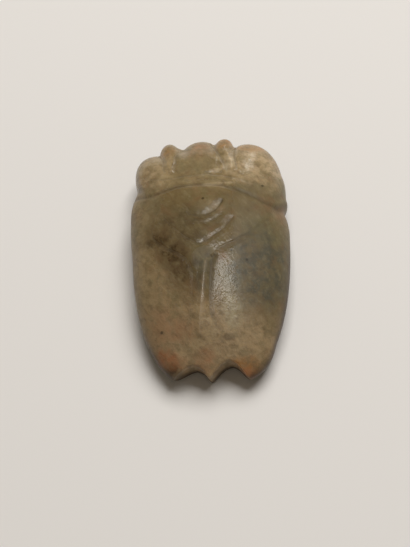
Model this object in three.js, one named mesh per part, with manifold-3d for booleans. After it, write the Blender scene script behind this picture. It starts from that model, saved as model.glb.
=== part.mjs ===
// Jade cicada pendant: one carved stone lying on its flat underside. Millimetres, +Z up, head towards +Y.
import * as THREE from "three";
import { mergeVertices } from "three/addons/utils/BufferGeometryUtils.js";
import Module from "manifold-3d";

const wasm = await Module();
wasm.setup();

// Sizes of the stone.
const LENGTH = 50.8; // right antenna to the tail
const WIDTH = 32; // across the shoulders
const CREST_HEIGHT = 12.4; // underside to the crest of the back
const HEAD_CREST_HEIGHT = 8.6; // height that the crest falls towards at the head
const TAIL_CREST_HEIGHT = 6.8; // height that the crest falls towards at the tail
const GIRTH_HEIGHT = 4.8; // height of the widest line along the middle
const TAIL_GIRTH_HEIGHT = 3.2; // height of the widest line at the tail
const UNDERSIDE_ROUND = 3; // how far the rounded edge of the underside reaches in

// Wheel-cut lines.
const MAIN_LINE = { width: 1.5, depth: 0.4 };
const FINE_LINE = { width: 1.1, depth: 0.25 };
const LINE_FADE = 2.5; // length over which a line runs out at its ends

// The cord hole: two bores that slant in from the underside, near the head, and meet inside the stone.
const CORD_BORE_DIAMETER = 2.2;
const CORD_BORE_SPACING = 6.5; // between the middles of the two mouths
const CORD_BORE_SLANT = 45; // degrees from the underside
const CORD_BORE_FROM_HEAD = 11.2; // from the head end to the mouths

// Fineness of the faceted surface.
const SEGMENTS_AROUND = 128;
const TOP_RINGS = 13;
const EDGE_RINGS = 4;
const LINE_SIDES = 8;
const LINE_STEP = 1.9;
const BORE_SIDES = 16;

const JADE_COLOUR = 0x7a6a4c;
const JADE_ROUGHNESS = 0.38;

// The free carving is in shares: u of the half width, to the right, and v of the half length, to the head.
const HALF_WIDTH = WIDTH / 2;
const HALF_LENGTH = LENGTH / 2;

// Ovals whose union is the outline: middle, radii to the side, head and tail, and power (2 makes an ellipse).
const LOBES = {
  body: { u: 0.005, v: 0.1, side: 0.985, head: 0.45, tail: 1.17, power: 2.4 },
  neck: { u: -0.05, v: 0.4, side: 0.7, head: 0.4, tail: 0.4, power: 2 },
  leftShoulder: { u: -0.6, v: 0.33, side: 0.415, head: 0.36, tail: 0.9, power: 2 },
  leftEye: { u: -0.69, v: 0.685, side: 0.28, head: 0.195, tail: 0.215, power: 2.4 },
  leftAntenna: { u: -0.53, v: 0.885, side: 0.125, head: 0.1, tail: 0.1, power: 2 },
  leftAntennaFlank: { u: -0.43, v: 0.85, side: 0.12, head: 0.09, tail: 0.09, power: 2 },
  nose: { u: -0.12, v: 0.8, side: 0.29, head: 0.19, tail: 0.19, power: 2 },
  rightAntenna: { u: 0.18, v: 0.917, side: 0.118, head: 0.085, tail: 0.085, power: 2 },
  rightEye: { u: 0.47, v: 0.53, side: 0.455, head: 0.41, tail: 0.41, power: 2 },
  rightCheek: { u: 0.7, v: 0.47, side: 0.255, head: 0.25, tail: 0.2, power: 2.4 },
  rightKnob: { u: 0.835, v: 0.385, side: 0.14, head: 0.08, tail: 0.08, power: 2 },
  rightTail: { u: 0.3, v: -0.62, side: 0.495, head: 0.3, tail: 0.385, power: 2.2 },
};

// Broad swellings of the back, or hollows where the rise, a share of the crest height, is below zero.
const SWELLINGS = {
  boss: { u: 0.02, v: 0.31, across: 0.27, along: 0.13, rise: 0.05 },
  leftEye: { u: -0.74, v: 0.68, across: 0.26, along: 0.2, rise: 0.05 },
  rightEye: { u: 0.6, v: 0.62, across: 0.36, along: 0.28, rise: 0.07 },
  nose: { u: -0.1, v: 0.79, across: 0.28, along: 0.13, rise: 0.05 },
  abdomen: { u: -0.07, v: -0.5, across: 0.16, along: 0.42, rise: 0.04 },
  leftWing: { u: -0.5, v: -0.35, across: 0.3, along: 0.4, rise: -0.03 },
  rightWing: { u: 0.5, v: -0.35, across: 0.3, along: 0.4, rise: -0.03 },
};

// The edge of the tail, from left to right: three tips and the two notches between them.
const TAIL_TIPS = [{ u: -0.45, v: -0.972 }, { u: -0.02, v: -0.994 }, { u: 0.45, v: -0.995 }];
const TAIL_NOTCHES = [{ u: -0.2, v: -0.895 }, { u: 0.23, v: -0.868 }];
const NOTCH_ROUND = 0.09; // half the width of a notch's round bottom

// Lines carved in the back, through these places.
const BACK_LINES = {
  leftAntennaOuter: {
    cut: FINE_LINE,
    through: [[-0.68, 0.91], [-0.56, 0.768], [-0.51, 0.666], [-0.49, 0.566]],
  },
  leftAntennaInner: { cut: FINE_LINE, through: [[-0.3, 0.93], [-0.38, 0.811], [-0.4, 0.657], [-0.4, 0.57]] },
  rightAntennaInner: { cut: FINE_LINE, through: [[0.03, 0.97], [0.13, 0.825], [0.21, 0.72], [0.27, 0.559]] },
  rightAntennaOuter: { cut: FINE_LINE, through: [[0.36, 0.94], [0.33, 0.77], [0.37, 0.668], [0.4, 0.55]] },
  headRear: {
    cut: FINE_LINE,
    through: [[-0.88, 0.64], [-0.69, 0.582], [-0.45, 0.568], [-0.1, 0.6], [0.2, 0.569], [0.66, 0.46]],
  },
  collar: {
    cut: MAIN_LINE,
    through: [
      [-0.97, 0.47], [-0.7, 0.428], [-0.53, 0.452], [-0.19, 0.49],
      [0.18, 0.458], [0.57, 0.362], [0.76, 0.31], [0.92, 0.29],
    ],
  },
  boss: {
    cut: MAIN_LINE,
    through: [[-0.24, 0.29], [-0.12, 0.204], [-0.02, 0.192], [0.08, 0.212], [0.27, 0.34]],
  },
  secondArc: {
    cut: FINE_LINE,
    through: [
      [-0.43, 0.276], [-0.3, 0.197], [-0.16, 0.144], [0, 0.124],
      [0.12, 0.152], [0.38, 0.298], [0.57, 0.389],
    ],
  },
  thirdArc: {
    cut: MAIN_LINE,
    through: [
      [-0.56, 0.253], [-0.37, 0.122], [-0.2, 0.029], [-0.07, -0.022],
      [0.09, 0.023], [0.25, 0.089], [0.39, 0.186],
    ],
  },
  rightWing: {
    cut: MAIN_LINE,
    through: [
      [0.81, 0.234], [0.59, 0.098], [0.4, 0.017], [0.19, -0.048], [0.1, -0.116],
      [0.06, -0.263], [0.03, -0.444], [0.05, -0.573], [0.14, -0.657], [0.24, -0.73],
    ],
  },
  leftWing: {
    cut: MAIN_LINE,
    through: [
      [-0.74, 0.17], [-0.66, 0.084], [-0.56, 0.007], [-0.4, -0.061], [-0.25, -0.111], [-0.16, -0.177],
      [-0.12, -0.292], [-0.13, -0.439], [-0.15, -0.566], [-0.23, -0.682], [-0.25, -0.8],
    ],
  },
};

// Plainer lines carved in the underside: the folded legs and the rings of the belly.
const UNDERSIDE_LINES = {
  leftLeg: { cut: FINE_LINE, through: [[-0.6, 0.34], [-0.3, 0.22], [-0.1, 0.02]] },
  rightLeg: { cut: FINE_LINE, through: [[0.6, 0.34], [0.3, 0.22], [0.1, 0.02]] },
  firstRing: { cut: FINE_LINE, through: [[-0.5, -0.34], [0, -0.42], [0.5, -0.34]] },
  secondRing: { cut: FINE_LINE, through: [[-0.44, -0.5], [0, -0.58], [0.44, -0.5]] },
  thirdRing: { cut: FINE_LINE, through: [[-0.36, -0.66], [0, -0.74], [0.36, -0.66]] },
};

function insideLobe(lobe, u, v) {
  const across = Math.abs(u - lobe.u) / lobe.side;
  const along = Math.abs(v - lobe.v) / (v > lobe.v ? lobe.head : lobe.tail);
  return across ** lobe.power + along ** lobe.power <= 1;
}

// Distance from the middle to the outline in one direction, found by halving the interval that holds it.
const INSIDE_EVERYWHERE = 0.5;
const OUTSIDE_EVERYWHERE = 1.5;
const HALVINGS = 20;
function lobedReach(angle) {
  let inner = INSIDE_EVERYWHERE;
  let outer = OUTSIDE_EVERYWHERE;
  for (let halving = 0; halving < HALVINGS; halving += 1) {
    const middle = (inner + outer) / 2;
    const [u, v] = [middle * Math.cos(angle), middle * Math.sin(angle)];
    if (Object.values(LOBES).some((lobe) => insideLobe(lobe, u, v))) inner = middle;
    else outer = middle;
  }
  return inner;
}

// The same distance averaged over the directions beside it, for the rings on which the lobes have faded.
const EVEN_ANGLE = 0.05;
const EVEN_SAMPLES = 3;
function evenReach(angle) {
  let sum = 0;
  for (let i = -EVEN_SAMPLES; i <= EVEN_SAMPLES; i += 1) sum += lobedReach(angle + i * EVEN_ANGLE);
  return sum / (2 * EVEN_SAMPLES + 1);
}

// A ring is 0 at the middle and 1 on the outline, and takes on the lobes between these two.
const LOBES_START = 0.75;
const LOBES_FULL = 0.95;
function ringReach(ring, lobed, even) {
  return THREE.MathUtils.lerp(even, lobed, THREE.MathUtils.smoothstep(ring, LOBES_START, LOBES_FULL));
}

// The crest of the back is highest at the thorax and falls to the head and the tail.
const HIGHEST_V = 0.2;
const CREST_FALL_POWER = 1.8;
function crestHeight(v) {
  const toHead = v > HIGHEST_V;
  const end = toHead ? HEAD_CREST_HEIGHT : TAIL_CREST_HEIGHT;
  const way = toHead ? (v - HIGHEST_V) / (1 - HIGHEST_V) : (HIGHEST_V - v) / (1 + HIGHEST_V);
  return CREST_HEIGHT - (CREST_HEIGHT - end) * way ** CREST_FALL_POWER;
}

const GIRTH_FALLS_FROM_V = -0.1;
function girthHeight(v) {
  const way = THREE.MathUtils.smoothstep(-v, -GIRTH_FALLS_FROM_V, 1);
  return THREE.MathUtils.lerp(GIRTH_HEIGHT, TAIL_GIRTH_HEIGHT, way);
}

function swelling(u, v) {
  let share = 0;
  for (const bump of Object.values(SWELLINGS)) {
    const distance = ((u - bump.u) / bump.across) ** 2 + ((v - bump.v) / bump.along) ** 2;
    share += bump.rise * Math.exp(-distance);
  }
  return share * CREST_HEIGHT;
}

const DOME_POWER = 2.4;
const DOME_ROOT = 2.1;
function ringHeight(u, v, ring) {
  const dome = Math.max(0, 1 - ring ** DOME_POWER) ** (1 / DOME_ROOT);
  return girthHeight(v) + (crestHeight(v) - girthHeight(v) + swelling(u, v)) * dome;
}

// Height of the back at a place. The ring that it lies on is found by repeating, as its reach depends on it.
const RING_PASSES = 4;
function backHeight(u, v) {
  const angle = Math.atan2(v, u);
  const lobed = lobedReach(angle);
  const even = evenReach(angle);
  let ring = Math.hypot(u, v) / even;
  for (let pass = 0; pass < RING_PASSES; pass += 1) ring = Math.hypot(u, v) / ringReach(ring, lobed, even);
  return ringHeight(u, v, Math.min(ring, 1));
}

// One ring of the stone's vertices. The underside's rounded edge turns from 0 at the girth to 90 degrees.
const RING_CROWDING = 0.8; // below 1, more rings near the outline
function stoneRing(index) {
  const edgeIndex = index - TOP_RINGS;
  const ring = edgeIndex > 0 ? 1 : Math.sin((index / TOP_RINGS) * (Math.PI / 2)) ** RING_CROWDING;
  const turn = edgeIndex > 0 ? (edgeIndex / EDGE_RINGS) * (Math.PI / 2) : 0;
  const vertices = [];
  for (let segment = 0; segment < SEGMENTS_AROUND; segment += 1) {
    const angle = (segment / SEGMENTS_AROUND) * Math.PI * 2;
    const reach = ring * ringReach(ring, lobedReach(angle), evenReach(angle));
    const [u, v] = [reach * Math.cos(angle), reach * Math.sin(angle)];
    const place = new THREE.Vector2(u * HALF_WIDTH, v * HALF_LENGTH);
    place.setLength(place.length() - UNDERSIDE_ROUND * (1 - Math.cos(turn)));
    vertices.push(place.x, place.y, ringHeight(u, v, ring) * (1 - Math.sin(turn)));
  }
  return vertices;
}

// The uncarved stone: rings over the back from its middle to the girth, then round to the flat underside.
function stoneGeometry() {
  const rings = TOP_RINGS + EDGE_RINGS;
  const positions = [0, 0, ringHeight(0, 0, 0)];
  for (let index = 1; index <= rings; index += 1) positions.push(...stoneRing(index));
  positions.push(0, 0, 0);
  const underMiddle = 1 + rings * SEGMENTS_AROUND;
  const vertex = (index, segment) => 1 + (index - 1) * SEGMENTS_AROUND + (segment % SEGMENTS_AROUND);
  const faces = [];
  for (let segment = 0; segment < SEGMENTS_AROUND; segment += 1) {
    faces.push(0, vertex(1, segment), vertex(1, segment + 1));
    for (let index = 1; index < rings; index += 1) {
      faces.push(vertex(index, segment), vertex(index + 1, segment), vertex(index + 1, segment + 1));
      faces.push(vertex(index, segment), vertex(index + 1, segment + 1), vertex(index, segment + 1));
    }
    faces.push(underMiddle, vertex(rings, segment + 1), vertex(rings, segment));
  }
  const geometry = new THREE.BufferGeometry();
  geometry.setAttribute("position", new THREE.Float32BufferAttribute(positions, 3));
  return geometry.setIndex(faces);
}

// A line's cutter is a round bar swept along a face of the stone, and rises out of it at both ends. The face
// gives a height at each place. Outward is 1 for the back and -1 for the underside.
function lineCutter({ cut, through }, face, outward) {
  const radius = (cut.width ** 2 / 4 + cut.depth ** 2) / (2 * cut.depth);
  const route = new THREE.CatmullRomCurve3(
    through.map(([u, v]) => new THREE.Vector3(u * HALF_WIDTH, v * HALF_LENGTH, 0)),
  );
  const steps = Math.ceil(route.getLength() / LINE_STEP);
  const middles = route.getSpacedPoints(steps).map((place, i) => {
    const toEnd = (Math.min(i, steps - i) / steps) * route.getLength();
    const depth = cut.depth * THREE.MathUtils.smoothstep(toEnd, 0, LINE_FADE);
    const height = face(place.x / HALF_WIDTH, place.y / HALF_LENGTH);
    return new THREE.Vector3(place.x, place.y, height + outward * (radius - depth));
  });
  return new THREE.ExtrudeGeometry(new THREE.Shape().absarc(0, 0, radius, 0, Math.PI * 2), {
    steps,
    curveSegments: LINE_SIDES / 2,
    extrudePath: new THREE.CatmullRomCurve3(middles),
  });
}

// What is sawn off past the tail's edge, through the whole height of the stone.
const SAW_REACH = 1.4; // how far the cut reaches to each side and past the tail, as a share
const SAW_MARGIN = 2; // how far it reaches above and below the stone
const NOTCH_SIDES = 6; // facets to each half of a notch
function tailCutter() {
  const shape = new THREE.Shape();
  const place = (u, v) => [u * HALF_WIDTH, v * HALF_LENGTH];
  const [leftTip, middleTip, rightTip] = TAIL_TIPS;
  shape.moveTo(...place(-SAW_REACH, -SAW_REACH));
  shape.lineTo(...place(SAW_REACH, -SAW_REACH));
  shape.lineTo(...place(SAW_REACH, rightTip.v));
  const notchTo = (tip, notch, nextTip) => {
    shape.lineTo(...place(tip.u, tip.v));
    shape.quadraticCurveTo(...place(notch.u + NOTCH_ROUND, notch.v), ...place(notch.u, notch.v));
    shape.quadraticCurveTo(...place(notch.u - NOTCH_ROUND, notch.v), ...place(nextTip.u, nextTip.v));
  };
  notchTo(rightTip, TAIL_NOTCHES[1], middleTip);
  notchTo(middleTip, TAIL_NOTCHES[0], leftTip);
  shape.lineTo(...place(-SAW_REACH, leftTip.v));
  const depth = CREST_HEIGHT + 2 * SAW_MARGIN;
  const geometry = new THREE.ExtrudeGeometry(shape, { depth, bevelEnabled: false, curveSegments: NOTCH_SIDES });
  return geometry.translate(0, 0, -SAW_MARGIN);
}

// One bore of the cord hole, from below its mouth to just past the place where the two meet. Side is 1 or -1.
function cordBore(side) {
  const slant = THREE.MathUtils.degToRad(CORD_BORE_SLANT);
  const toMeeting = CORD_BORE_SPACING / 2 / Math.cos(slant);
  const radius = CORD_BORE_DIAMETER / 2;
  const below = CORD_BORE_DIAMETER;
  const bore = new THREE.CylinderGeometry(radius, radius, below + toMeeting + radius / 2, BORE_SIDES);
  bore.translate(0, (toMeeting + radius / 2 - below) / 2, 0);
  bore.rotateX(Math.PI / 2);
  bore.rotateY(-side * (Math.PI / 2 - slant));
  return bore.translate((side * CORD_BORE_SPACING) / 2, HALF_LENGTH - CORD_BORE_FROM_HEAD, 0);
}

// A closed three.js geometry as a manifold-3d solid, and such a solid as a geometry.
const MERGE_DISTANCE = 1e-4;
function solid(geometry) {
  geometry.deleteAttribute("normal");
  geometry.deleteAttribute("uv");
  const merged = mergeVertices(geometry, MERGE_DISTANCE);
  const vertProperties = Float32Array.from(merged.attributes.position.array);
  const triVerts = Uint32Array.from(merged.index.array);
  return new wasm.Manifold(new wasm.Mesh({ numProp: 3, vertProperties, triVerts }));
}

function solidGeometry(body) {
  const { vertProperties, triVerts } = body.getMesh();
  const geometry = new THREE.BufferGeometry();
  geometry.setAttribute("position", new THREE.BufferAttribute(vertProperties, 3));
  geometry.setIndex(new THREE.BufferAttribute(triVerts, 1));
  geometry.computeVertexNormals();
  return geometry;
}

function carvedStone() {
  const flat = () => 0;
  const cutters = [
    tailCutter(),
    ...Object.values(BACK_LINES).map((line) => lineCutter(line, backHeight, 1)),
    ...Object.values(UNDERSIDE_LINES).map((line) => lineCutter(line, flat, -1)),
    cordBore(-1),
    cordBore(1),
  ];
  const carved = cutters.reduce((body, cutter) => body.subtract(solid(cutter)), solid(stoneGeometry()));
  const geometry = solidGeometry(carved);
  geometry.computeBoundingBox();
  const middle = geometry.boundingBox.getCenter(new THREE.Vector3());
  return geometry.translate(-middle.x, -middle.y, 0);
}

const jade = new THREE.MeshStandardMaterial({ color: JADE_COLOUR, roughness: JADE_ROUGHNESS, metalness: 0 });
const cicada = new THREE.Mesh(carvedStone(), jade);
cicada.name = "cicada";

const model = new THREE.Group();
model.add(cicada);

export default model;
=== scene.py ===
"""Jade cicada pendant lying on a pale table, seen from above its tail end."""

import math

import bmesh
import bpy
import numpy as np
from mathutils import Matrix, Vector


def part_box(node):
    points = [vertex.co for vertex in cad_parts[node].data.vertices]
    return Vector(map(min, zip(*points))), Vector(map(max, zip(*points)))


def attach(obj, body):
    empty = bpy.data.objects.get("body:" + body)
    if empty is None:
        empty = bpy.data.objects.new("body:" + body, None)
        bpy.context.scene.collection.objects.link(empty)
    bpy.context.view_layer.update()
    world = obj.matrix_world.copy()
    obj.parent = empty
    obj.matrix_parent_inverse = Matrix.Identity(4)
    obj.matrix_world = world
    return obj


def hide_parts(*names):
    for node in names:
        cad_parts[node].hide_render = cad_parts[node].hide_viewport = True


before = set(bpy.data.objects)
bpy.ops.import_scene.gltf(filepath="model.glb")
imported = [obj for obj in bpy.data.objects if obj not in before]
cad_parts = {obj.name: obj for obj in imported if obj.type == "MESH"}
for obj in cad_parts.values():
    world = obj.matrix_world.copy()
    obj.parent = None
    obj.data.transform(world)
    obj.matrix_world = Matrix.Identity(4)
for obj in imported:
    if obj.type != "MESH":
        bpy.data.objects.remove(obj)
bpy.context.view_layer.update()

MM = 0.001

# Sizes of the stone in millimetres.
LENGTH = 50.8
WIDTH = 32.0
CREST_HEIGHT = 12.4
HEAD_CREST_HEIGHT = 8.6
TAIL_CREST_HEIGHT = 6.8
GIRTH_HEIGHT = 4.8
TAIL_GIRTH_HEIGHT = 3.2
UNDERSIDE_ROUND = 3.0
NOTCH_EDGE_ROUND = 0.45
# How hand polishing leaves the surface: depth of the waves and their size.
UNEVENNESS = 0.05
UNEVENNESS_SIZE = 4
HALF_WIDTH = WIDTH / 2
HALF_LENGTH = LENGTH / 2

# The cord hole: two slanting bores that meet inside the stone.
CORD_BORE_DIAMETER = 2.2
CORD_BORE_SPACING = 6.5
CORD_BORE_SLANT = 45.0
CORD_BORE_FROM_HEAD = 11.2
CORD_BORE_SIDES = 40

# Fineness of the surface.
SEGMENTS_AROUND = 448
TOP_RINGS = 160
WALL_ROWS = 4
UNDER_EDGE_RINGS = 10
UNDER_FLAT_RINGS = 44
# In millimetres: points nearer than this are merged, and a guide has a point at each of these steps.
MERGE_DISTANCE = 0.002
GUIDE_STEP = 0.12
# Halvings that find the outline, and passes that soften it.
OUTLINE_HALVINGS = 24
OUTLINE_SOFTENING = 3

# Fullness of the dome: how late it falls off from the crest, and how steeply it comes down at the rim.
DOME_SHOULDER = 2.4
DOME_RIM = 2.1
# The back's rings are even inside the first share of the way to the rim and follow the lobes from the second.
EVEN_RINGS = 0.75
LOBED_RINGS = 0.95

# Below, u is a share of the half width, to the right, and v of the half length, to the head.

# Ovals whose union is the outline: middle, radii to the side, head and tail, and power.
LOBES = {
    "body": (0.005, 0.1, 0.985, 0.45, 1.17, 2.4),
    "neck": (-0.05, 0.4, 0.7, 0.4, 0.4, 2),
    "left shoulder": (-0.6, 0.33, 0.415, 0.36, 0.9, 2),
    "left eye": (-0.69, 0.685, 0.28, 0.195, 0.215, 2.4),
    "left antenna": (-0.53, 0.885, 0.125, 0.1, 0.1, 2),
    "left antenna flank": (-0.43, 0.85, 0.12, 0.09, 0.09, 2),
    "nose": (-0.12, 0.8, 0.29, 0.19, 0.19, 2),
    "right antenna": (0.18, 0.917, 0.118, 0.085, 0.085, 2),
    "right eye": (0.47, 0.53, 0.455, 0.41, 0.41, 2),
    "right cheek": (0.7, 0.47, 0.255, 0.25, 0.2, 2.4),
    "right knob": (0.835, 0.385, 0.14, 0.08, 0.08, 2),
    "right tail": (0.3, -0.62, 0.495, 0.3, 0.385, 2.2),
}

# Broad swellings and hollows of the back: middle, reach across and along, and rise as a share of the
# crest height.
SWELLINGS = {
    "boss": (0.03, 0.3, 0.2, 0.11, 0.022),
    "collar": (0.1, 0.46, 0.45, 0.13, 0.028),
    "left eye": (-0.74, 0.68, 0.26, 0.2, 0.05),
    "right eye": (0.6, 0.62, 0.36, 0.28, 0.07),
    "nose": (-0.1, 0.79, 0.28, 0.13, 0.05),
    "abdomen": (-0.07, -0.5, 0.16, 0.42, 0.04),
    "left wing": (-0.5, -0.35, 0.3, 0.4, -0.02),
    "right wing": (0.5, -0.35, 0.3, 0.4, -0.012),
}

# The edge of the tail from left to right: tips with the round-bottomed notches between them.
TAIL_TIPS = [(-0.45, -0.972), (-0.02, -0.994), (0.45, -0.995)]
TAIL_NOTCHES = [(-0.2, -0.895), (0.23, -0.868)]
NOTCH_ROUND = 0.09
# Where the tail's worn notch walls begin, and the least depth of a notch that counts.
NOTCHES_FROM = -0.7
LEAST_NOTCH = 0.002

# Bevelled lines: width of the wall on the left and on the right of the way that the line runs, depth at its
# start and at its end, all in millimetres, and the places that it goes through. Raised lines stand up by the
# same measures. LINE_FADE is the length over which a line's ends run out.
MAIN_LINES = {
    "boss": (1.5, 0.45, 0.1, 0.42, [
        (-0.24, 0.27), (-0.18, 0.229), (-0.1, 0.211), (-0.01, 0.207), (0.06, 0.222), (0.13, 0.25),
        (0.19, 0.3), (0.23, 0.345),
    ]),
    "second arc": (0.5, 0.5, 0.03, 0.075, [
        (-0.3, 0.197), (-0.17, 0.157), (-0.08, 0.144), (0.01, 0.145), (0.06, 0.154), (0.11, 0.169),
        (0.17, 0.196), (0.24, 0.235),
    ]),
    "third arc": (0.65, 0.8, 0.04, 0.11, [
        (-0.54, 0.24), (-0.37, 0.122), (-0.2, 0.029), (-0.07, -0.014), (0.02, 0.004), (0.09, 0.036),
        (0.15, 0.06), (0.21, 0.086), (0.28, 0.13), (0.35, 0.19),
    ]),
    "right groove": (1.0, 0.9, 0.04, 0.28, [
        (0.19, -0.67), (0.12, -0.64), (0.06, -0.573), (0.045, -0.444), (0.06, -0.263), (0.08, -0.15),
        (0.14, -0.085),
    ]),
    "right wing": (0.4, 1.2, 0.1, 0.08, [
        (0.1, -0.11), (0.14, -0.075), (0.25, -0.035), (0.4, 0.01), (0.59, 0.09), (0.78, 0.2),
    ]),
    "left wing": (0.7, 0.8, 0.13, 0.04, [
        (-0.74, 0.15), (-0.68, 0.093), (-0.58, 0.022), (-0.46, -0.035), (-0.3, -0.09), (-0.2, -0.15),
        (-0.15, -0.24), (-0.15, -0.35), (-0.16, -0.439), (-0.17, -0.566), (-0.23, -0.682),
    ]),
    "collar": (0.45, 0.7, 0.21, 0.23, [
        (-0.97, 0.47), (-0.87, 0.455), (-0.7, 0.428), (-0.53, 0.452), (-0.38, 0.48), (-0.19, 0.493),
        (0, 0.488), (0.1, 0.481), (0.21, 0.468), (0.39, 0.42), (0.57, 0.367), (0.76, 0.31), (0.92, 0.29),
    ]),
}
FINE_LINES = {
    "third arc end": (1.3, 0.5, 0.12, 0.2, [
        (0.22, 0.1), (0.28, 0.135), (0.36, 0.2),
    ]),
    "collar middle": (0.35, 0.4, 0.05, 0.04, [
        (-0.3, 0.53), (-0.13, 0.54), (0.06, 0.53), (0.25, 0.505), (0.43, 0.463), (0.6, 0.415),
    ]),
    "head rear": (0.5, 0.5, 0.08, 0.08, [
        (-0.88, 0.64), (-0.69, 0.582), (-0.45, 0.568), (-0.23, 0.588), (-0.01, 0.586), (0.2, 0.565),
        (0.43, 0.514), (0.66, 0.46),
    ]),
    "nose facet": (0.8, 0.3, 0.42, 0.46, [
        (-0.06, 0.592), (0.08, 0.6), (0.22, 0.612),
    ]),
    "right antenna inner": (0.5, 0.5, 0.2, 0.14, [
        (0.03, 0.97), (0.05, 0.923), (0.13, 0.825), (0.21, 0.72), (0.25, 0.64), (0.26, 0.6),
    ]),
    "right antenna outer": (0.5, 0.5, 0.2, 0.14, [
        (0.36, 0.94), (0.35, 0.893), (0.35, 0.77), (0.38, 0.668), (0.4, 0.6),
    ]),
    "left antenna outer": (0.5, 0.5, 0.18, 0.12, [
        (-0.68, 0.91), (-0.65, 0.871), (-0.56, 0.768), (-0.53, 0.666), (-0.51, 0.61),
    ]),
    "left antenna inner": (0.6, 0.6, 0.13, 0.1, [
        (-0.3, 0.93), (-0.32, 0.889), (-0.38, 0.811), (-0.39, 0.734), (-0.4, 0.657), (-0.4, 0.61),
    ]),
}
RAISED_LINES = {
    "right antenna": (0.9, 1.0, 0.15, 0.45, [
        (0.22, 0.87), (0.25, 0.8), (0.31, 0.686), (0.325, 0.592),
    ]),
    "left antenna": (1.0, 1.0, 0.06, 0.12, [
        (-0.5, 0.86), (-0.47, 0.789), (-0.455, 0.676), (-0.455, 0.6),
    ]),
    "abdomen": (1.4, 1.1, 0.24, 0.16, [
        (0.02, -0.13), (0.0, -0.2), (-0.02, -0.3), (-0.045, -0.42), (-0.08, -0.576), (-0.09, -0.72),
    ]),
}
UNDERSIDE_LINES = {
    "left leg": (0.55, 0.55, 0.35, 0.35, [
        (-0.6, 0.34), (-0.3, 0.22), (-0.1, 0.02),
    ]),
    "right leg": (0.55, 0.55, 0.35, 0.35, [
        (0.6, 0.34), (0.3, 0.22), (0.1, 0.02),
    ]),
    "first ring": (0.55, 0.55, 0.35, 0.35, [
        (-0.5, -0.34), (0, -0.42), (0.5, -0.34),
    ]),
    "second ring": (0.55, 0.55, 0.35, 0.35, [
        (-0.44, -0.5), (0, -0.58), (0.44, -0.5),
    ]),
    "third ring": (0.55, 0.55, 0.35, 0.35, [
        (-0.36, -0.66), (0, -0.74), (0.36, -0.66),
    ]),
}
LINE_FADE = 1.0

# Dirt and painted shade fill a line past its right wall by this share, and reach this far, in millimetres, up
# its left one.
DIRT_AND_SHADE_SPREAD = 1.5
DIRT_AND_SHADE_ON_LEFT = 0.2
# The depth of a line that holds full dirt and painted shade, and the height of a raised line that is worn
# pale, in millimetres.
DIRT_AND_SHADE_DEPTH = 0.2
WORN_HEIGHT = 0.4
CREST_SHARPNESS = 5


# Node graphs


class Socket:
    """An output socket of a node. Arithmetic on it adds Math nodes to its tree."""

    def __init__(self, graph, socket):
        self.graph = graph
        self.socket = socket

    def math(self, operation, *others):
        inputs = dict(enumerate((self, *others)))
        return self.graph.add("ShaderNodeMath", {"operation": operation}, inputs)

    def also(self, name):
        return Socket(self.graph, self.socket.node.outputs[name])

    def __add__(self, other):
        return self.math("ADD", other)

    __radd__ = __add__

    def __sub__(self, other):
        return self.math("SUBTRACT", other)

    def __rsub__(self, other):
        return self.graph.add("ShaderNodeMath", {"operation": "SUBTRACT"}, {0: other, 1: self})

    def __mul__(self, other):
        return self.math("MULTIPLY", other)

    def __truediv__(self, other):
        return self.math("DIVIDE", other)

    def __rtruediv__(self, other):
        return self.graph.add("ShaderNodeMath", {"operation": "DIVIDE"}, {0: other, 1: self})

    def __pow__(self, power):
        return self.math("POWER", power)

    def largest(self, other):
        return self.math("MAXIMUM", other)

    def smallest(self, other):
        return self.math("MINIMUM", other)

    def step(self, low, high):
        """0 below low, 1 above high, smooth between. With low above high it falls instead."""
        return self.graph.add(
            "ShaderNodeMapRange",
            {"interpolation_type": "SMOOTHSTEP"},
            {"Value": self, "From Min": low, "From Max": high},
        )


class Graph:
    """Adds nodes to one tree."""

    def __init__(self, tree):
        self.tree = tree

    def add(self, kind, settings=None, inputs=None, output=None):
        node = self.tree.nodes.new(kind)
        for name, value in (settings or {}).items():
            setattr(node, name, value)
        for key, value in (inputs or {}).items():
            self.feed(node.inputs[key], value)
        live = [socket for socket in node.outputs if socket.enabled]
        return Socket(self, node.outputs[output] if output is not None else live[0] if live else None)

    def feed(self, target, value):
        if isinstance(value, Socket):
            self.tree.links.new(value.socket, target)
        else:
            target.default_value = value

    def vector(self, operation, *values, output=None):
        return self.add("ShaderNodeVectorMath", {"operation": operation}, dict(enumerate(values)), output)

    def mix(self, factor, first, second):
        mixed = self.add("ShaderNodeMix", {"data_type": "RGBA", "clamp_factor": True})
        node = mixed.socket.node
        self.feed(node.inputs[0], factor)
        self.feed(node.inputs[6], first)
        self.feed(node.inputs[7], second)
        return Socket(self, node.outputs[2])


# The form


def smoothstep(value, low, high):
    share = np.clip((value - low) / (high - low), 0, 1)
    return share * share * (3 - 2 * share)


def inside_lobes(u, v):
    inside = np.zeros(np.shape(u), bool)
    for lobe_u, lobe_v, side, head, tail, power in LOBES.values():
        across = np.abs(u - lobe_u) / side
        along = np.abs(v - lobe_v) / np.where(v > lobe_v, head, tail)
        inside |= across**power + along**power <= 1
    return inside


def reach_of(inside, angle):
    """How far a shape reaches from the middle in each direction, found by halving."""
    inner = np.full(angle.shape, 0.5)
    outer = np.full(angle.shape, 1.5)
    for _ in range(OUTLINE_HALVINGS):
        middle = (inner + outer) / 2
        held = inside(middle * np.cos(angle), middle * np.sin(angle))
        inner = np.where(held, middle, inner)
        outer = np.where(held, outer, middle)
    return inner


def even_reach(angle, step=0.05, samples=3):
    turns = [i * step for i in range(-samples, samples + 1)]
    return sum(reach_of(inside_lobes, angle + turn) for turn in turns) / len(turns)


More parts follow.
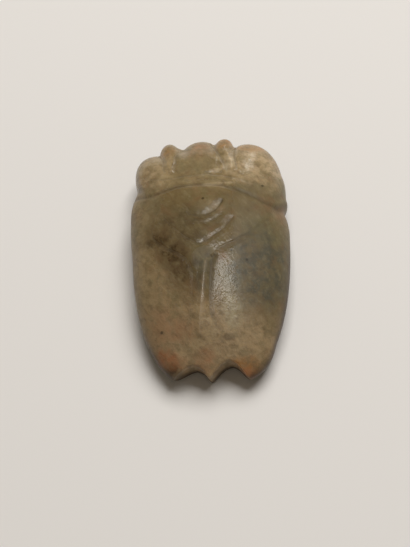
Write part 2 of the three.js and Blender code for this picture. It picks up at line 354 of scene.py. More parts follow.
def tail_edge():
    """The edge of the tail as u and v, from the left tip to the right one."""
    left, middle, right = TAIL_TIPS
    share = np.linspace(0, 1, 24)[:, None]
    pieces = []
    for tip, notch, next_tip in ((left, TAIL_NOTCHES[0], middle), (middle, TAIL_NOTCHES[1], right)):
        for start, bend, end in (
            (tip, (notch[0] - NOTCH_ROUND, notch[1]), notch),
            (notch, (notch[0] + NOTCH_ROUND, notch[1]), next_tip),
        ):
            start, bend, end = (np.array(place) for place in (start, bend, end))
            pieces.append((1 - share) ** 2 * start + 2 * share * (1 - share) * bend + share**2 * end)
    edge = np.concatenate(pieces)
    return edge[:, 0], edge[:, 1]


def inside_tail(u, v):
    edge_u, edge_v = tail_edge()
    return v >= np.interp(u, edge_u, edge_v)


def crest_height(v, highest=0.2, fall_power=1.8):
    way = np.where(v > highest, (v - highest) / (1 - highest), (highest - v) / (1 + highest))
    end = np.where(v > highest, HEAD_CREST_HEIGHT, TAIL_CREST_HEIGHT)
    return CREST_HEIGHT - (CREST_HEIGHT - end) * np.clip(way, 0, None) ** fall_power


def girth_height(v):
    return GIRTH_HEIGHT + (TAIL_GIRTH_HEIGHT - GIRTH_HEIGHT) * smoothstep(-v, 0.1, 1)


def swelling(u, v):
    total = np.zeros(np.shape(u))
    for bump_u, bump_v, across, along, rise in SWELLINGS.values():
        total += rise * np.exp(-(((u - bump_u) / across) ** 2) - ((v - bump_v) / along) ** 2)
    return total * CREST_HEIGHT


def ring_reach(ring, lobed, even):
    return even + (lobed - even) * smoothstep(ring, EVEN_RINGS, LOBED_RINGS)


def back_height(u, v, ring):
    dome = np.clip(1 - ring**DOME_SHOULDER, 0, 1) ** (1 / DOME_RIM)
    return girth_height(v) + (crest_height(v) - girth_height(v) + swelling(u, v)) * dome


def underside_height(inset, girth):
    """Height of the rounded lower edge at a distance in from the outline, 0 on the flat."""
    lift = np.clip(1 - inset / UNDERSIDE_ROUND, 0, 1)
    return girth * (1 - np.sqrt(1 - lift**2))


def soften(reach):
    """Takes the sharpness off the outline's corners, as handling does."""
    for _ in range(OUTLINE_SOFTENING):
        reach = (np.roll(reach, 1) + 2 * reach + np.roll(reach, -1)) / 4
    return reach


def stone_rows():
    """Rows of points, in millimetres, from the innermost ring of the back to that of the underside."""
    angle = np.linspace(0, 2 * math.pi, SEGMENTS_AROUND, endpoint=False)
    lobed = reach_of(inside_lobes, angle)
    even = even_reach(angle)
    edge = soften(reach_of(lambda u, v: inside_lobes(u, v) & inside_tail(u, v), angle))
    lobed = np.maximum(soften(lobed), edge)
    smooth_edge = np.minimum(even, edge)
    length = np.hypot(np.cos(angle) * HALF_WIDTH, np.sin(angle) * HALF_LENGTH)
    edge_points = np.stack([edge * np.cos(angle) * HALF_WIDTH, edge * np.sin(angle) * HALF_LENGTH], 1)
    girth = girth_height(lobed * np.sin(angle))

    def top(reach):
        ring = reach / even
        for _ in range(12):
            ring = reach / ring_reach(ring, lobed, even)
        return back_height(reach * np.cos(angle), reach * np.sin(angle), np.clip(ring, 0, 1))

    def under(reach):
        return underside_height((lobed - reach) * length, girth)

    wall = np.where(lobed - edge > LEAST_NOTCH, top(edge) - under(edge), 0)
    rounding = np.minimum(NOTCH_EDGE_ROUND, wall / 2)

    def edge_drop(reach):
        """How much the notch walls' worn rims take off at each point."""
        points = np.stack([reach * np.cos(angle) * HALF_WIDTH, reach * np.sin(angle) * HALF_LENGTH], 1)
        near = points[:, 1] < NOTCHES_FROM * HALF_LENGTH
        drop = np.zeros(len(points))
        if near.any():
            gaps = np.linalg.norm(points[near][:, None] - edge_points[None], axis=2)
            nearest = gaps.argmin(1)
            radius = rounding[nearest]
            into = np.clip(radius - gaps.min(1), 0, None)
            drop[near] = radius - np.sqrt(np.clip(radius**2 - into**2, 0, None))
        return drop

    def row(reach, height):
        return np.stack([reach * np.cos(angle) * HALF_WIDTH, reach * np.sin(angle) * HALF_LENGTH, height], 1)

    rows = []
    for i in range(1, TOP_RINGS + 1):
        share = math.sin(i / TOP_RINGS * math.pi / 2) ** 0.8
        blend = smoothstep(np.array(share), 0.5, 0.95)
        reach = share * (smooth_edge + (edge - smooth_edge) * blend)
        rows.append(row(reach, top(reach) - edge_drop(reach)))
    high = rows[-1][:, 2]
    low = under(edge) + edge_drop(edge)
    for i in range(1, WALL_ROWS + 1):
        rows.append(row(edge, high + (low - high) * i / WALL_ROWS))
    for i in range(1, UNDER_EDGE_RINGS + 1):
        inset = UNDERSIDE_ROUND * (1 - math.cos(i / UNDER_EDGE_RINGS * math.pi / 2))
        reach = edge - inset / length
        rows.append(row(reach, under(reach) + edge_drop(reach)))
    flat = edge - UNDERSIDE_ROUND / length
    for i in range(1, UNDER_FLAT_RINGS):
        reach = flat * (1 - i / UNDER_FLAT_RINGS)
        rows.append(row(reach, under(reach) + edge_drop(reach)))
    return rows, back_height(np.array(0.0), np.array(0.0), np.array(0.0))


def fit_to_box(points, low, high):
    """Centres the points as the solid is, and keeps them inside its box."""
    middle = (points.max(0) + points.min(0)) / 2
    size = points.max(0) - points.min(0)
    box_middle = (low + high) / 2
    box_size = high - low
    fitted = (points - middle) * np.minimum(1, box_size / size)
    fitted[:, :2] += box_middle[:2]
    fitted[:, 2] += low[2] - fitted[:, 2].min()
    return fitted


def stone_mesh():
    rows, top_middle = stone_rows()
    points = np.concatenate([np.array([[0, 0, float(top_middle)]]), *rows, np.zeros((1, 3))])
    low, high = (np.array(corner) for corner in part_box("cicada"))
    points = fit_to_box(points * MM, low, high)
    faces = []
    last = len(points) - 1
    around = SEGMENTS_AROUND
    for i in range(around):
        after = (i + 1) % around
        faces.append((0, 1 + i, 1 + after))
        for j in range(len(rows) - 1):
            a, b = 1 + j * around, 1 + (j + 1) * around
            faces.append((a + i, b + i, b + after, a + after))
        a = 1 + (len(rows) - 1) * around
        faces.append((last, a + after, a + i))
    mesh = bpy.data.meshes.new("stone")
    mesh.from_pydata(points.tolist(), [], faces)
    piece = bpy.data.objects.new("carved_stone", mesh)
    bpy.context.collection.objects.link(piece)
    return piece


def merge_closed(piece):
    """Merges the points that fall together, so that the shell is closed."""
    shell = bmesh.new()
    shell.from_mesh(piece.data)
    bmesh.ops.remove_doubles(shell, verts=shell.verts, dist=MERGE_DISTANCE * MM)
    bmesh.ops.recalc_face_normals(shell, faces=shell.faces)
    shell.to_mesh(piece.data)
    shell.free()


# The carved lines


def smooth_path(places, step=GUIDE_STEP):
    """Points evenly along a centripetal Catmull-Rom curve through the places, in millimetres."""
    knots = np.array([(u * HALF_WIDTH, v * HALF_LENGTH) for u, v in places])
    knots = np.concatenate([[2 * knots[0] - knots[1]], knots, [2 * knots[-1] - knots[-2]]])
    points = []
    for p0, p1, p2, p3 in zip(knots, knots[1:], knots[2:], knots[3:]):
        t0 = 0.0
        t1 = t0 + math.sqrt(np.linalg.norm(p1 - p0))
        t2 = t1 + math.sqrt(np.linalg.norm(p2 - p1))
        t3 = t2 + math.sqrt(np.linalg.norm(p3 - p2))
        for t in np.linspace(t1, t2, 40, endpoint=False):
            a1 = (t1 - t) / (t1 - t0) * p0 + (t - t0) / (t1 - t0) * p1
            a2 = (t2 - t) / (t2 - t1) * p1 + (t - t1) / (t2 - t1) * p2
            a3 = (t3 - t) / (t3 - t2) * p2 + (t - t2) / (t3 - t2) * p3
            b1 = (t2 - t) / (t2 - t0) * a1 + (t - t0) / (t2 - t0) * a2
            b2 = (t3 - t) / (t3 - t1) * a2 + (t - t1) / (t3 - t1) * a3
            points.append((t2 - t) / (t2 - t1) * b1 + (t - t1) / (t2 - t1) * b2)
    points.append(knots[-2])
    points = np.array(points)
    along = np.concatenate([[0], np.cumsum(np.linalg.norm(np.diff(points, axis=0), axis=1))])
    even = np.linspace(0, along[-1], max(2, int(along[-1] / step)))
    return np.stack([np.interp(even, along, points[:, axis]) for axis in (0, 1)], 1), even


def guide_object(name, lines):
    """Edges along each line on the ground plane. Each point holds its depth, wall widths and left side."""
    places, edges, depths, left_walls, right_walls, sides = [], [], [], [], [], []
    for left_wall, right_wall, start_depth, end_depth, through in lines.values():
        points, along = smooth_path(through)
        tangent = np.gradient(points, axis=0)
        tangent /= np.linalg.norm(tangent, axis=1)[:, None]
        first = len(places)
        way = along / along[-1]
        to_end = np.minimum(along, along[-1] - along)
        fade = smoothstep(to_end, 0, min(LINE_FADE, along[-1] / 3))
        depths.extend((start_depth + (end_depth - start_depth) * way) * fade * MM)
        left_walls.extend([left_wall * MM] * len(points))
        right_walls.extend([right_wall * MM] * len(points))
        sides.extend((-y, x, 0.0) for x, y in tangent)
        places.extend((x * MM, y * MM, 0.0) for x, y in points)
        edges.extend((first + i, first + i + 1) for i in range(len(points) - 1))
    mesh = bpy.data.meshes.new(name)
    mesh.from_pydata(places, edges, [])
    for title, values in (("cut_depth", depths), ("left_wall", left_walls), ("right_wall", right_walls)):
        mesh.attributes.new(title, "FLOAT", "POINT").data.foreach_set("value", np.array(values, np.float32))
    flat_sides = np.array(sides, np.float32).ravel()
    mesh.attributes.new("left_side", "FLOAT_VECTOR", "POINT").data.foreach_set("vector", flat_sides)
    guide = bpy.data.objects.new(name, mesh)
    bpy.context.collection.objects.link(guide)
    return guide


def line_depth(graph, guides, ground, facing):
    """How deep one group of lines is at each point of the stone, with its shares of dirt and painted shade,
    and of worn crest.
    """
    lines = graph.add("GeometryNodeObjectInfo", {}, {"Object": guides}, "Geometry")
    near = graph.add(
        "GeometryNodeProximity",
        {"target_element": "EDGES"},
        {0: lines, "Sample Position": ground},
        "Position",
    )
    index = graph.add(
        "GeometryNodeSampleNearest",
        {"domain": "POINT"},
        {"Geometry": lines, "Sample Position": near},
    )

    def held(name, kind="FLOAT"):
        value = graph.add("GeometryNodeInputNamedAttribute", {"data_type": kind}, {"Name": name}, "Attribute")
        settings = {"data_type": kind, "domain": "POINT"}
        inputs = {"Geometry": lines, "Value": value, "Index": index}
        return graph.add("GeometryNodeSampleIndex", settings, inputs)

    offset = graph.vector("SUBTRACT", ground, near)
    leftward = graph.vector("DOT_PRODUCT", offset, held("left_side", "FLOAT_VECTOR"), output="Value")
    on_left = leftward.math("GREATER_THAN", 0)
    wall = held("right_wall") + (held("left_wall") - held("right_wall")) * on_left
    bevel = (1 - near.also("Distance") / wall).largest(0)
    depth = held("cut_depth") * facing
    # Dirt with painted shade: dark well past the line's right wall, and only a little way up its left one.
    dirt_and_shade_on_right = held("right_wall") * DIRT_AND_SHADE_SPREAD
    dirt_and_shade_reach = dirt_and_shade_on_right - (dirt_and_shade_on_right - DIRT_AND_SHADE_ON_LEFT * MM) * on_left
    dirt_and_shade = (near.also("Distance") / dirt_and_shade_reach).step(1, 0) * (depth / (DIRT_AND_SHADE_DEPTH * MM)).smallest(1)
    crest = bevel**CREST_SHARPNESS * (depth / (WORN_HEIGHT * MM)).smallest(1)
    return depth * bevel, dirt_and_shade, crest


def carving_tree(material):
    """Cuts the lines, marks where they hold dirt and painted shade or are worn, and leaves the stone slightly
    uneven.
    """
    tree = bpy.data.node_groups.new("wheel_cut_lines", "GeometryNodeTree")
    inputs = {}
    for name, kind in (
        ("Geometry", "NodeSocketGeometry"),
        ("Main lines", "NodeSocketObject"),
        ("Fine lines", "NodeSocketObject"),
        ("Raised lines", "NodeSocketObject"),
        ("Underside lines", "NodeSocketObject"),
        ("Unevenness", "NodeSocketFloat"),
        ("Unevenness size", "NodeSocketFloat"),
    ):
        inputs[name] = tree.interface.new_socket(name, in_out="INPUT", socket_type=kind).identifier
    tree.interface.new_socket("Geometry", in_out="OUTPUT", socket_type="NodeSocketGeometry")
    graph = Graph(tree)
    given = graph.add("NodeGroupInput")
    position = graph.add("GeometryNodeInputPosition")
    ground = graph.vector("MULTIPLY", position, (1, 1, 0))
    normal = graph.add("GeometryNodeInputNormal")
    upward = graph.vector("DOT_PRODUCT", normal, (0, 0, 1), output="Value")
    on_back = upward.step(-0.5, -0.1)
    on_underside = upward.step(-0.6, -0.8)
    main, main_dirt_and_shade, _ = line_depth(graph, given.also("Main lines"), ground, on_back)
    fine, fine_dirt_and_shade, _ = line_depth(graph, given.also("Fine lines"), ground, on_back)
    raised, _, crest = line_depth(graph, given.also("Raised lines"), ground, on_back)
    under, under_dirt_and_shade, _ = line_depth(graph, given.also("Underside lines"), ground, on_underside)
    depth = main.largest(fine).largest(under)
    marked = given.also("Geometry")
    all_dirt_and_shade = main_dirt_and_shade.largest(fine_dirt_and_shade).largest(under_dirt_and_shade)
    # The first mark holds dirt and painted shade in the lines; the second, worn crests.
    for name, share in (("groove_dirt", all_dirt_and_shade), ("worn_crest", crest)):
        marked = graph.add(
            "GeometryNodeStoreNamedAttribute",
            {"data_type": "FLOAT", "domain": "POINT"},
            {"Geometry": marked, "Name": name, "Value": share},
        )
    wave = graph.add(
        "ShaderNodeTexNoise",
        {"noise_dimensions": "3D"},
        {"Vector": position, "Scale": 1 / given.also("Unevenness size"), "Detail": 2.0},
    )
    sunk = depth - raised + wave * given.also("Unevenness") * upward.step(-0.9, -0.3)
    offset = graph.add("ShaderNodeVectorMath", {"operation": "SCALE"}, {0: normal, "Scale": sunk * -1})
    moved = graph.add("GeometryNodeSetPosition", {}, {"Geometry": marked, "Offset": offset})
    whole = graph.add("GeometryNodeRealizeInstances", {}, {"Geometry": moved})
    finished = graph.add("GeometryNodeSetMaterial", {}, {"Geometry": whole, "Material": material})
    graph.add("NodeGroupOutput", {}, {"Geometry": finished})
    return tree, inputs


def carve(piece, material):
    tree, inputs = carving_tree(material)
    guides = {
        "Main lines": guide_object("main_guides", MAIN_LINES),
        "Fine lines": guide_object("fine_guides", FINE_LINES),
        "Raised lines": guide_object("raised_guides", RAISED_LINES),
        "Underside lines": guide_object("underside_guides", UNDERSIDE_LINES),
    }
    carving = piece.modifiers.new("carving", "NODES")
    carving.node_group = tree
    for name, guide in guides.items():
        carving[inputs[name]] = guide
    carving[inputs["Unevenness"]] = UNEVENNESS * MM
    carving[inputs["Unevenness size"]] = UNEVENNESS_SIZE * MM
    make_plain(piece)
    for guide in guides.values():
        bpy.data.objects.remove(guide)


def make_plain(piece):
    """Turns the piece with its modifiers into a plain mesh."""
    view = bpy.context.evaluated_depsgraph_get()
    mesh = bpy.data.meshes.new_from_object(piece.evaluated_get(view), depsgraph=view)
    piece.modifiers.clear()
    piece.data = mesh


def bore_cord_hole(piece):
    """Drills the two bores with round bars, then takes the bars away."""
    slant = math.radians(CORD_BORE_SLANT)
    to_meeting = CORD_BORE_SPACING / 2 / math.cos(slant)
    radius = CORD_BORE_DIAMETER / 2
    below = CORD_BORE_DIAMETER
    length = below + to_meeting + radius / 2
    centre_y = HALF_LENGTH - CORD_BORE_FROM_HEAD
    for side in (-1, 1):
        bpy.ops.mesh.primitive_cylinder_add(
            vertices=CORD_BORE_SIDES, radius=radius * MM, depth=length * MM
        )
        bar = bpy.context.object
        axis = Vector((-side * math.cos(slant), 0, math.sin(slant)))
        mouth = Vector((side * CORD_BORE_SPACING / 2, centre_y, 0))
        middle = mouth + axis * ((to_meeting + radius / 2 - below) / 2)
        turn = axis.to_track_quat("Z", "Y").to_matrix().to_4x4()
        bar.data.transform(Matrix.Translation(middle * MM) @ turn)
        drill = piece.modifiers.new("drill", "BOOLEAN")
        drill.object = bar
        drill.operation = "DIFFERENCE"
        drill.solver = "EXACT"
        make_plain(piece)
        bpy.data.objects.remove(bar)


# The jade


def linear(red, green, blue):
    """A colour as seen on a screen, 0 to 255, as the linear colour that the shader takes."""
    def channel(value):
        share = value / 255
        return share / 12.92 if share <= 0.04045 else ((share + 0.055) / 1.055) ** 2.4

    return (channel(red), channel(green), channel(blue), 1)


OLIVE_BROWN = linear(112, 95, 62)
OLIVE_GREY = linear(110, 99, 70)
PALE_HONEY = linear(150, 130, 94)
GREEN_HAZE = linear(108, 104, 68)
DARK_BROWN = linear(66, 49, 22)
# Brown for the painted shade on the lower rim.
RIM_SHADE_BROWN = linear(58, 42, 22)
GREY_GREEN = linear(82, 78, 62)
RUST_RED = linear(152, 102, 66)
ORANGE = linear(150, 106, 56)
# Cream for the painted highlights.
HIGHLIGHT_CREAM = linear(196, 178, 146)
HONEY = linear(152, 126, 92)
TAIL_HONEY = linear(172, 146, 110)
SOFT_HONEY = linear(164, 146, 116)
GREY_HONEY = linear(164, 144, 112)
LIT_HONEY = linear(180, 158, 124)
NOSE_GREEN = linear(118, 104, 72)
PINK_BROWN = linear(132, 102, 72)
CLEAR_RUST = linear(164, 112, 72)
TIP_RUST = linear(156, 104, 66)
WING_RUST = linear(146, 104, 70)
SOFT_RUST = linear(150, 116, 82)
SHADE_BROWN = linear(84, 70, 46)
# Pale greens for the painted reflection on the right wing.
REFLECTION_PALE_GREEN = linear(138, 132, 104)
REFLECTION_GREEN_CREAM = linear(166, 154, 124)
# Pale cream for the painted highlight on the nose facet.
HIGHLIGHT_PALE_CREAM = linear(222, 204, 172)

# The fine pattern of the stone, the dirt and painted shade in its lines, and its worn crests.
RUSTY_CLOUD = linear(128, 92, 62)
FIBRE_DARK = linear(96, 72, 46)
FIBRE_PALE = linear(150, 136, 104)
MOTTLE_DARK = linear(88, 70, 46)
MOTTLE_PALE = linear(154, 138, 108)
SPECKLE_DARK = linear(74, 58, 36)
DIRT_AND_SHADE_BROWN = linear(66, 52, 30)
CREST_PALE = linear(212, 188, 158)
GRAIN_BROWN = linear(46, 34, 16)

# Blotches: middle, reach across and along, colour and strength.
BLOTCHES = {
    "head": ((0.05, 0.86), (1.1, 0.34), PALE_HONEY, 0.6),
    "left wing": ((-0.62, -0.35), (0.45, 0.5), HONEY, 0.5),
    "nose green": ((-0.1, 0.68), (0.34, 0.12), NOSE_GREEN, 0.3),
    "nose brown": ((-0.1, 0.82), (0.2, 0.08), PINK_BROWN, 0.4),
    "left eye": ((-0.74, 0.64), (0.3, 0.22), GREY_HONEY, 0.55),
    "tail": ((0.0, -0.8), (1.1, 0.42), TAIL_HONEY, 0.8),
    "right eye": ((0.6, 0.68), (0.4, 0.24), LIT_HONEY, 0.6),
    # A painted highlight: the small bright spot on the right eye.
    "painted eye highlight": ((0.54, 0.76), (0.1, 0.04), HIGHLIGHT_CREAM, 0.3),
    # A painted highlight along the collar line's head-side wall.
    "painted collar highlight": ((0.14, 0.484), (0.22, 0.014), HIGHLIGHT_CREAM, 0.6),
    # The nose facet blotch is a painted highlight on the nose's lower facet.
    "nose facet": ((0.1, 0.622), (0.09, 0.02), HIGHLIGHT_PALE_CREAM, 0.6),
    # Painted highlights: the pale bands along the two antenna ridges.
    "painted right antenna highlight": ((0.29, 0.69), (0.07, 0.12), HIGHLIGHT_CREAM, 0.35),
    "painted left antenna highlight": ((-0.45, 0.66), (0.1, 0.12), PALE_HONEY, 0.5),
    "boss pale": ((0.07, 0.28), (0.2, 0.07), SOFT_HONEY, 0.3),
    # A painted reflection: the pale gloss patch on the right wing beside the abdomen.
    "painted wing reflection": ((0.33, -0.35), (0.14, 0.3), REFLECTION_PALE_GREEN, 0.4),
    "collar": ((0.0, 0.53), (0.6, 0.12), PALE_HONEY, 0.4),
    "lower left wing": ((-0.5, -0.6), (0.4, 0.36), PALE_HONEY, 0.25),
    "lower right wing": ((0.5, -0.72), (0.42, 0.2), PALE_HONEY, 0.3),
    "lower abdomen": ((-0.04, -0.74), (0.3, 0.24), PALE_HONEY, 0.5),
    "left wing edge": ((-0.9, -0.2), (0.3, 0.8), PALE_HONEY, 0.7),
    "thorax shade": ((-0.3, 0.12), (0.5, 0.2), SHADE_BROWN, 0.6),
    "abdomen top": ((-0.02, -0.2), (0.18, 0.24), GREY_GREEN, 0.6),
    "stain top": ((-0.6, 0.03), (0.17, 0.06), DARK_BROWN, 0.85),
    "stain middle": ((-0.42, -0.08), (0.2, 0.1), DARK_BROWN, 0.8),
    "stain low": ((-0.28, -0.22), (0.2, 0.15), DARK_BROWN, 0.6),
    "grey green": ((0.66, -0.22), (0.38, 0.34), GREY_GREEN, 0.85),
    "left tip red": ((-0.52, -0.83), (0.17, 0.07), RUST_RED, 0.75),
    "left tip dark": ((-0.46, -0.92), (0.11, 0.05), DARK_BROWN, 0.9),
    "right tip": ((0.46, -0.92), (0.17, 0.09), ORANGE, 0.8),
    "middle tip": ((-0.04, -0.87), (0.14, 0.09), RUST_RED, 0.5),
    "right tip red": ((0.46, -0.96), (0.14, 0.05), CLEAR_RUST, 0.7),
    "left tip rust": ((-0.5, -0.87), (0.22, 0.06), TIP_RUST, 0.6),
    "low red": ((-0.3, -0.66), (0.2, 0.12), SOFT_RUST, 0.4),
    "wing rust": ((-0.5, -0.62), (0.3, 0.16), WING_RUST, 0.35),
    "left antenna": ((-0.52, 0.87), (0.1, 0.07), ORANGE, 0.5),
    "nose": ((-0.1, 0.9), (0.12, 0.05), RUST_RED, 0.45),
    "right antenna": ((0.2, 0.92), (0.1, 0.07), ORANGE, 0.5),
    "right eye tint": ((0.56, 0.86), (0.2, 0.05), ORANGE, 0.45),
    "low dark spot": ((0.24, -0.71), (0.1, 0.03), DARK_BROWN, 0.5),
    # The painted reflection's lower end, where it fades out.
    "painted wing reflection foot": ((0.3, -0.52), (0.12, 0.14), REFLECTION_GREEN_CREAM, 0.45),
}
# Dark grains: middle and radius in millimetres.
GRAINS = {
    "boss": ((-0.02, 0.35), 0.32),
    "right eye": ((0.7, 0.46), 0.3),
    "patch top": ((0.32, -0.077), 0.26),
    "right wing": ((0.5, -0.152), 0.3),
    "left wing": ((-0.56, -0.653), 0.34),
}

# Noises in the stone: size in millimetres, detail, roughness, and a shift that keeps them apart.
NOISES = {
    "cloud": (9, 4, 0.6, 0.3),
    "green": (6, 4, 0.6, 0.43),
    "rusty": (5, 5, 0.68, 0.21),
    "wobble": (3.5, 4, 0.65, 0.7),
    "patchy": (1.7, 4, 0.65, 0.83),
    "fibre": (0.9, 3, 0.6, 0.37),
    "mottle": (1.1, 4, 0.65, 0.11),
    "speckle": (0.4, 2, 0.5, 0.5),
    "wave": (2.6, 2, 0.5, 0.9),
}

# How strongly the dirt and painted shade in the lines, the worn crests, the grains and the painted shade on
# the lower rims show.
DIRT_AND_SHADE_TINT = 0.45
CREST_TINT = 0.28
GRAIN_TINT = 0.75
RIM_SHADE_TINT = 0.8

# How rough the best polish is, and how much the mottling and the dull places add.
POLISH = 0.12
MOTTLED_ROUGHNESS = 0.18
DULL_ROUGHNESS = 0.28

# How light passes through the stone: index, share, reach of red, green and blue, and the reach's size in
# millimetres.
JADE_INDEX = 1.6
GLOW_SHARE = 0.35
GLOW_REACH = (1.0, 0.75, 0.45)
GLOW_SIZE = 2.0

# Depth of the finest pits in millimetres, and how strongly they show.
PIT_DEPTH = 0.14
PIT_STRENGTH = 0.6

# The fibres of the stone: their turn from the head's way, and how much longer they are than wide.
FIBRE_TURN = 0.7
FIBRE_STRETCH = 3


def stone_noise(graph, place, name):
    """One of the noises in the stone, from 0 to 1."""
    size, detail, roughness, shift = NOISES[name]
    moved = graph.vector("ADD", place, (shift, -shift, 2 * shift))
    inputs = {"Vector": moved, "Scale": 1 / (size * MM), "Detail": detail, "Roughness": roughness}
    return graph.add("ShaderNodeTexNoise", {"noise_dimensions": "3D"}, inputs)


def clouds_and_blotches(graph, place, u, v):
    """The broad colours of the stone, with the blotches in their places."""
    cloud = stone_noise(graph, place, "cloud")
    green = stone_noise(graph, place, "green")
    rusty = stone_noise(graph, place, "rusty")
    wobble = stone_noise(graph, place, "wobble")
    patchy = stone_noise(graph, place, "patchy").step(0.36, 0.64) * 0.9 + 0.45
    colour = graph.mix(cloud.step(0.35, 0.7), OLIVE_BROWN, OLIVE_GREY)
    colour = graph.mix(green.step(0.5, 0.7) * 0.3, colour, GREEN_HAZE)
    colour = graph.mix(rusty.step(0.48, 0.7) * 0.5, colour, RUSTY_CLOUD)
    for (middle_u, middle_v), (across, along), tint, strength in BLOTCHES.values():
        distance = (((u - middle_u) / across) ** 2 + ((v - middle_v) / along) ** 2) ** 0.5
        mask = (distance + (wobble - 0.5) * 1.5).step(1.35, 0.35) * patchy
        colour = graph.mix(mask * strength, colour, tint)
    return colour


def fine_pattern(graph, colour, mottle, speckle, fibre):
    """Fibres, mottling and speckles over the broad colours."""
    colour = graph.mix(fibre.step(0.48, 0.75) * 0.36, colour, FIBRE_DARK)
    colour = graph.mix(fibre.step(0.48, 0.3) * 0.22, colour, FIBRE_PALE)
    colour = graph.mix(mottle.step(0.48, 0.78) * 0.4, colour, MOTTLE_DARK)
    colour = graph.mix(mottle.step(0.5, 0.15) * 0.18, colour, MOTTLE_PALE)
    return graph.mix(speckle.step(0.6, 0.8) * 0.2, colour, SPECKLE_DARK)


def dirt_shade_and_grains(graph, colour, u, v, dirt_and_shade):
    """Dirt and painted shade in the lines, pale worn crests and the few dark grains."""
    crest = graph.add("ShaderNodeAttribute", {"attribute_name": "worn_crest"}, {}, "Fac")
    colour = graph.mix(dirt_and_shade * DIRT_AND_SHADE_TINT, colour, DIRT_AND_SHADE_BROWN)
    colour = graph.mix(crest * CREST_TINT, colour, CREST_PALE)
    for (middle_u, middle_v), radius in GRAINS.values():
        across = (u - middle_u) * (HALF_WIDTH / radius)
        along = (v - middle_v) * (HALF_LENGTH / radius)
        grain = ((across**2 + along**2) ** 0.5).step(1.2, 0.5)
        colour = graph.mix(grain * GRAIN_TINT, colour, GRAIN_BROWN)
    return colour


def painted_rim_shade(graph, colour, u, v, height):
    """Painted shade on the lower rim, darker towards the table, and a darker line low along the right side
    and the left tip.
    """
    girth = (GIRTH_HEIGHT - (v * -1).step(0.1, 1) * (GIRTH_HEIGHT - TAIL_GIRTH_HEIGHT)) * MM
    share = height / girth
    # Painted shade: darker from the girth down towards the table.
    colour = graph.mix(share.step(1.0, 0.3) * RIM_SHADE_TINT, colour, RIM_SHADE_BROWN)
    right_side = u.step(0.25, 0.6) * v.step(0.1, -0.15)
    left_tip = u.step(-0.3, -0.5) * v.step(-0.6, -0.75)
    line = share.step(1.6, 1.05) * right_side.largest(left_tip)
    return graph.mix(line * RIM_SHADE_TINT, colour, RIM_SHADE_BROWN)


def polish_roughness(u, v, mottle, dirt_and_shade):
    """Shiny on the back, duller towards the rim, at the tail, in the middle and where the lines hold dirt and
    painted shade.
    """
    from_middle = (u**2 + v**2) ** 0.5
    rim = from_middle.step(0.55, 0.85).largest(u.step(0.26, 0.52)) * v.step(0.65, 0.35)
    middle = ((u / 0.15) ** 2 + ((v + 0.14) / 0.09) ** 2).step(1.6, 0.6)
    tail = v.step(-0.38, -0.62) * 0.7
    dull = rim.largest(middle).largest(tail).largest(dirt_and_shade)
    return POLISH + mottle * MOTTLED_ROUGHNESS + dull * DULL_ROUGHNESS


def jade_material():
    material = bpy.data.materials.new("jade")
    material.use_nodes = True
    material.node_tree.nodes.clear()
    graph = Graph(material.node_tree)
    place = graph.add("ShaderNodeTexCoord", {}, {}, "Object")
    split = graph.add("ShaderNodeSeparateXYZ", {}, {"Vector": place})
    u = split.also("X") / (HALF_WIDTH * MM)
    v = split.also("Y") / (HALF_LENGTH * MM)
    fibre_place = graph.add(
        "ShaderNodeMapping",
        {"vector_type": "TEXTURE"},
        {"Vector": place, "Rotation": (0, 0, FIBRE_TURN), "Scale": (1, FIBRE_STRETCH, 1)},
    )
    fibre = stone_noise(graph, fibre_place, "fibre")
    mottle = stone_noise(graph, place, "mottle")
    speckle = stone_noise(graph, place, "speckle")
    wave = stone_noise(graph, place, "wave")
    dirt_and_shade = graph.add("ShaderNodeAttribute", {"attribute_name": "groove_dirt"}, {}, "Fac")

    colour = clouds_and_blotches(graph, place, u, v)
    colour = fine_pattern(graph, colour, mottle, speckle, fibre)
    colour = dirt_shade_and_grains(graph, colour, u, v, dirt_and_shade)
    colour = painted_rim_shade(graph, colour, u, v, split.also("Z"))
    pits = mottle * 0.6 + speckle * 0.35 + wave + fibre * 0.8
    bump = graph.add(
        "ShaderNodeBump",
        {},
        {"Strength": PIT_STRENGTH, "Distance": PIT_DEPTH * MM, "Height": pits},
        "Normal",
    )

    shader = graph.add("ShaderNodeBsdfPrincipled")
    node = shader.socket.node
    graph.feed(node.inputs["Base Color"], colour)
    graph.feed(node.inputs["Roughness"], polish_roughness(u, v, mottle, dirt_and_shade))
    graph.feed(node.inputs["Normal"], bump)
    node.inputs["IOR"].default_value = JADE_INDEX
    node.inputs["Subsurface Weight"].default_value = GLOW_SHARE
    node.inputs["Subsurface Radius"].default_value = GLOW_REACH
    node.inputs["Subsurface Scale"].default_value = GLOW_SIZE * MM
    graph.add("ShaderNodeOutputMaterial", {}, {"Surface": shader})
    return material


# Table, light and camera


WARM_ROOM = (1.0, 0.86, 0.66)
ROOM_STRENGTH = 0.14
LAMP_WHITE = (1.0, 0.99, 0.97)
GLOSS_WHITE = (1.0, 0.98, 0.95)
PALE_TABLE = (0.80, 0.777, 0.755, 1)
TABLE_ROUGHNESS = 0.8
# Half the table's side in metres.
TABLE_HALF = 1.5
# The photograph's size in pixels.
IMAGE_WIDTH = 410
IMAGE_HEIGHT = 547


def table_top():
    mesh = bpy.data.meshes.new("table_top")
    half = TABLE_HALF
    corners = [(-half, -half, 0), (half, -half, 0), (half, half, 0), (-half, half, 0)]
    mesh.from_pydata(corners, [], [(0, 1, 2, 3)])
    table = bpy.data.objects.new("table_top", mesh)
    bpy.context.collection.objects.link(table)
    material = bpy.data.materials.new("pale_table")
    material.use_nodes = True
    shader = material.node_tree.nodes["Principled BSDF"]
    shader.inputs["Base Color"].default_value = PALE_TABLE
    shader.inputs["Roughness"].default_value = TABLE_ROUGHNESS
    mesh.materials.append(material)


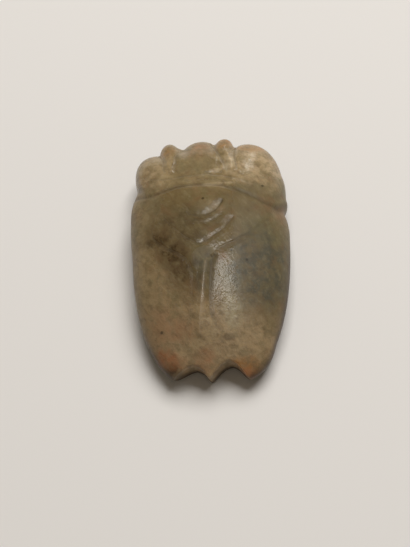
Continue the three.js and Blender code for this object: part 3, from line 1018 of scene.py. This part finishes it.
def soft_light(name, direction, distance, size, power, colour, glossy=True, diffuse=True):
    """A rectangular light that faces the stone from a direction, with sizes in metres."""
    lamp = bpy.data.lights.new(name, "AREA")
    lamp.shape = "RECTANGLE"
    lamp.size, lamp.size_y = size
    lamp.energy = power
    lamp.color = colour
    away = Vector(direction).normalized()
    holder = bpy.data.objects.new(name, lamp)
    holder.location = away * distance
    holder.rotation_euler = away.to_track_quat("Z", "Y").to_euler()
    holder.visible_glossy = glossy
    holder.visible_diffuse = diffuse
    bpy.context.collection.objects.link(holder)


def room_light(colour, strength):
    world = bpy.data.worlds.new("room")
    world.use_nodes = True
    world.node_tree.nodes["Background"].inputs["Color"].default_value = (*colour, 1)
    world.node_tree.nodes["Background"].inputs["Strength"].default_value = strength
    bpy.context.scene.world = world


def add_camera():
    """Looks down at the stone from above its tail end, a little to the right, as a hand-held phone does.

    Lengths are in millimetres. The focal length and the places in the image are in pixels.
    """
    lean_right, lean_down = math.radians(8), math.radians(20)
    distance, focal = 200.0, 1008.0
    image_middle = (IMAGE_WIDTH / 2, IMAGE_HEIGHT / 2)
    stone_at = (209.5, 254.0)
    target = Vector((0, 0, 5))
    back = Vector((math.tan(lean_right), -math.tan(lean_down), 1)).normalized()
    up = Vector((0, 1, 0))
    up = (up - back * up.dot(back)).normalized()
    right = up.cross(back)
    aside = (stone_at[0] - image_middle[0]) / focal * distance
    above = -(stone_at[1] - image_middle[1]) / focal * distance
    place = (target + back * distance - right * aside - up * above) * MM
    camera = bpy.data.cameras.new("camera")
    camera.sensor_width = 36
    camera.lens = camera.sensor_width * focal / IMAGE_HEIGHT
    camera.clip_start = 0.01
    holder = bpy.data.objects.new("camera", camera)
    turn = Matrix((right, up, back)).transposed().to_4x4()
    holder.matrix_world = Matrix.Translation(place) @ turn
    bpy.context.collection.objects.link(holder)
    bpy.context.scene.camera = holder


add_camera()
bpy.context.scene.view_settings.view_transform = "Standard"
table_top()
room_light(WARM_ROOM, ROOM_STRENGTH)
soft_light(
    "head_side",
    direction=(0.28, 0.74, 1.0),
    distance=1.1,
    size=(0.76, 0.62),
    power=13.5,
    colour=LAMP_WHITE,
    glossy=False,
)
# The room's small bright sources, seen only in the polish.
for name, direction, distance, size, power in (
    ("overhead", (0.01, -0.05, 1.0), 0.7, (0.22, 0.24), 0.85),
    ("right_side", (0.45, 0.2, 0.87), 0.7, (0.12, 0.12), 0.34),
    ("beyond_head", (0.12, 0.96, 0.25), 0.8, (0.07, 0.03), 0.26),
):
    soft_light(name, direction, distance, size, power, colour=GLOSS_WHITE, diffuse=False)

jade = jade_material()
stone = stone_mesh()
merge_closed(stone)
carve(stone, jade)
bore_cord_hole(stone)
stone.data.shade_smooth()

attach(stone, "root")
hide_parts("cicada")
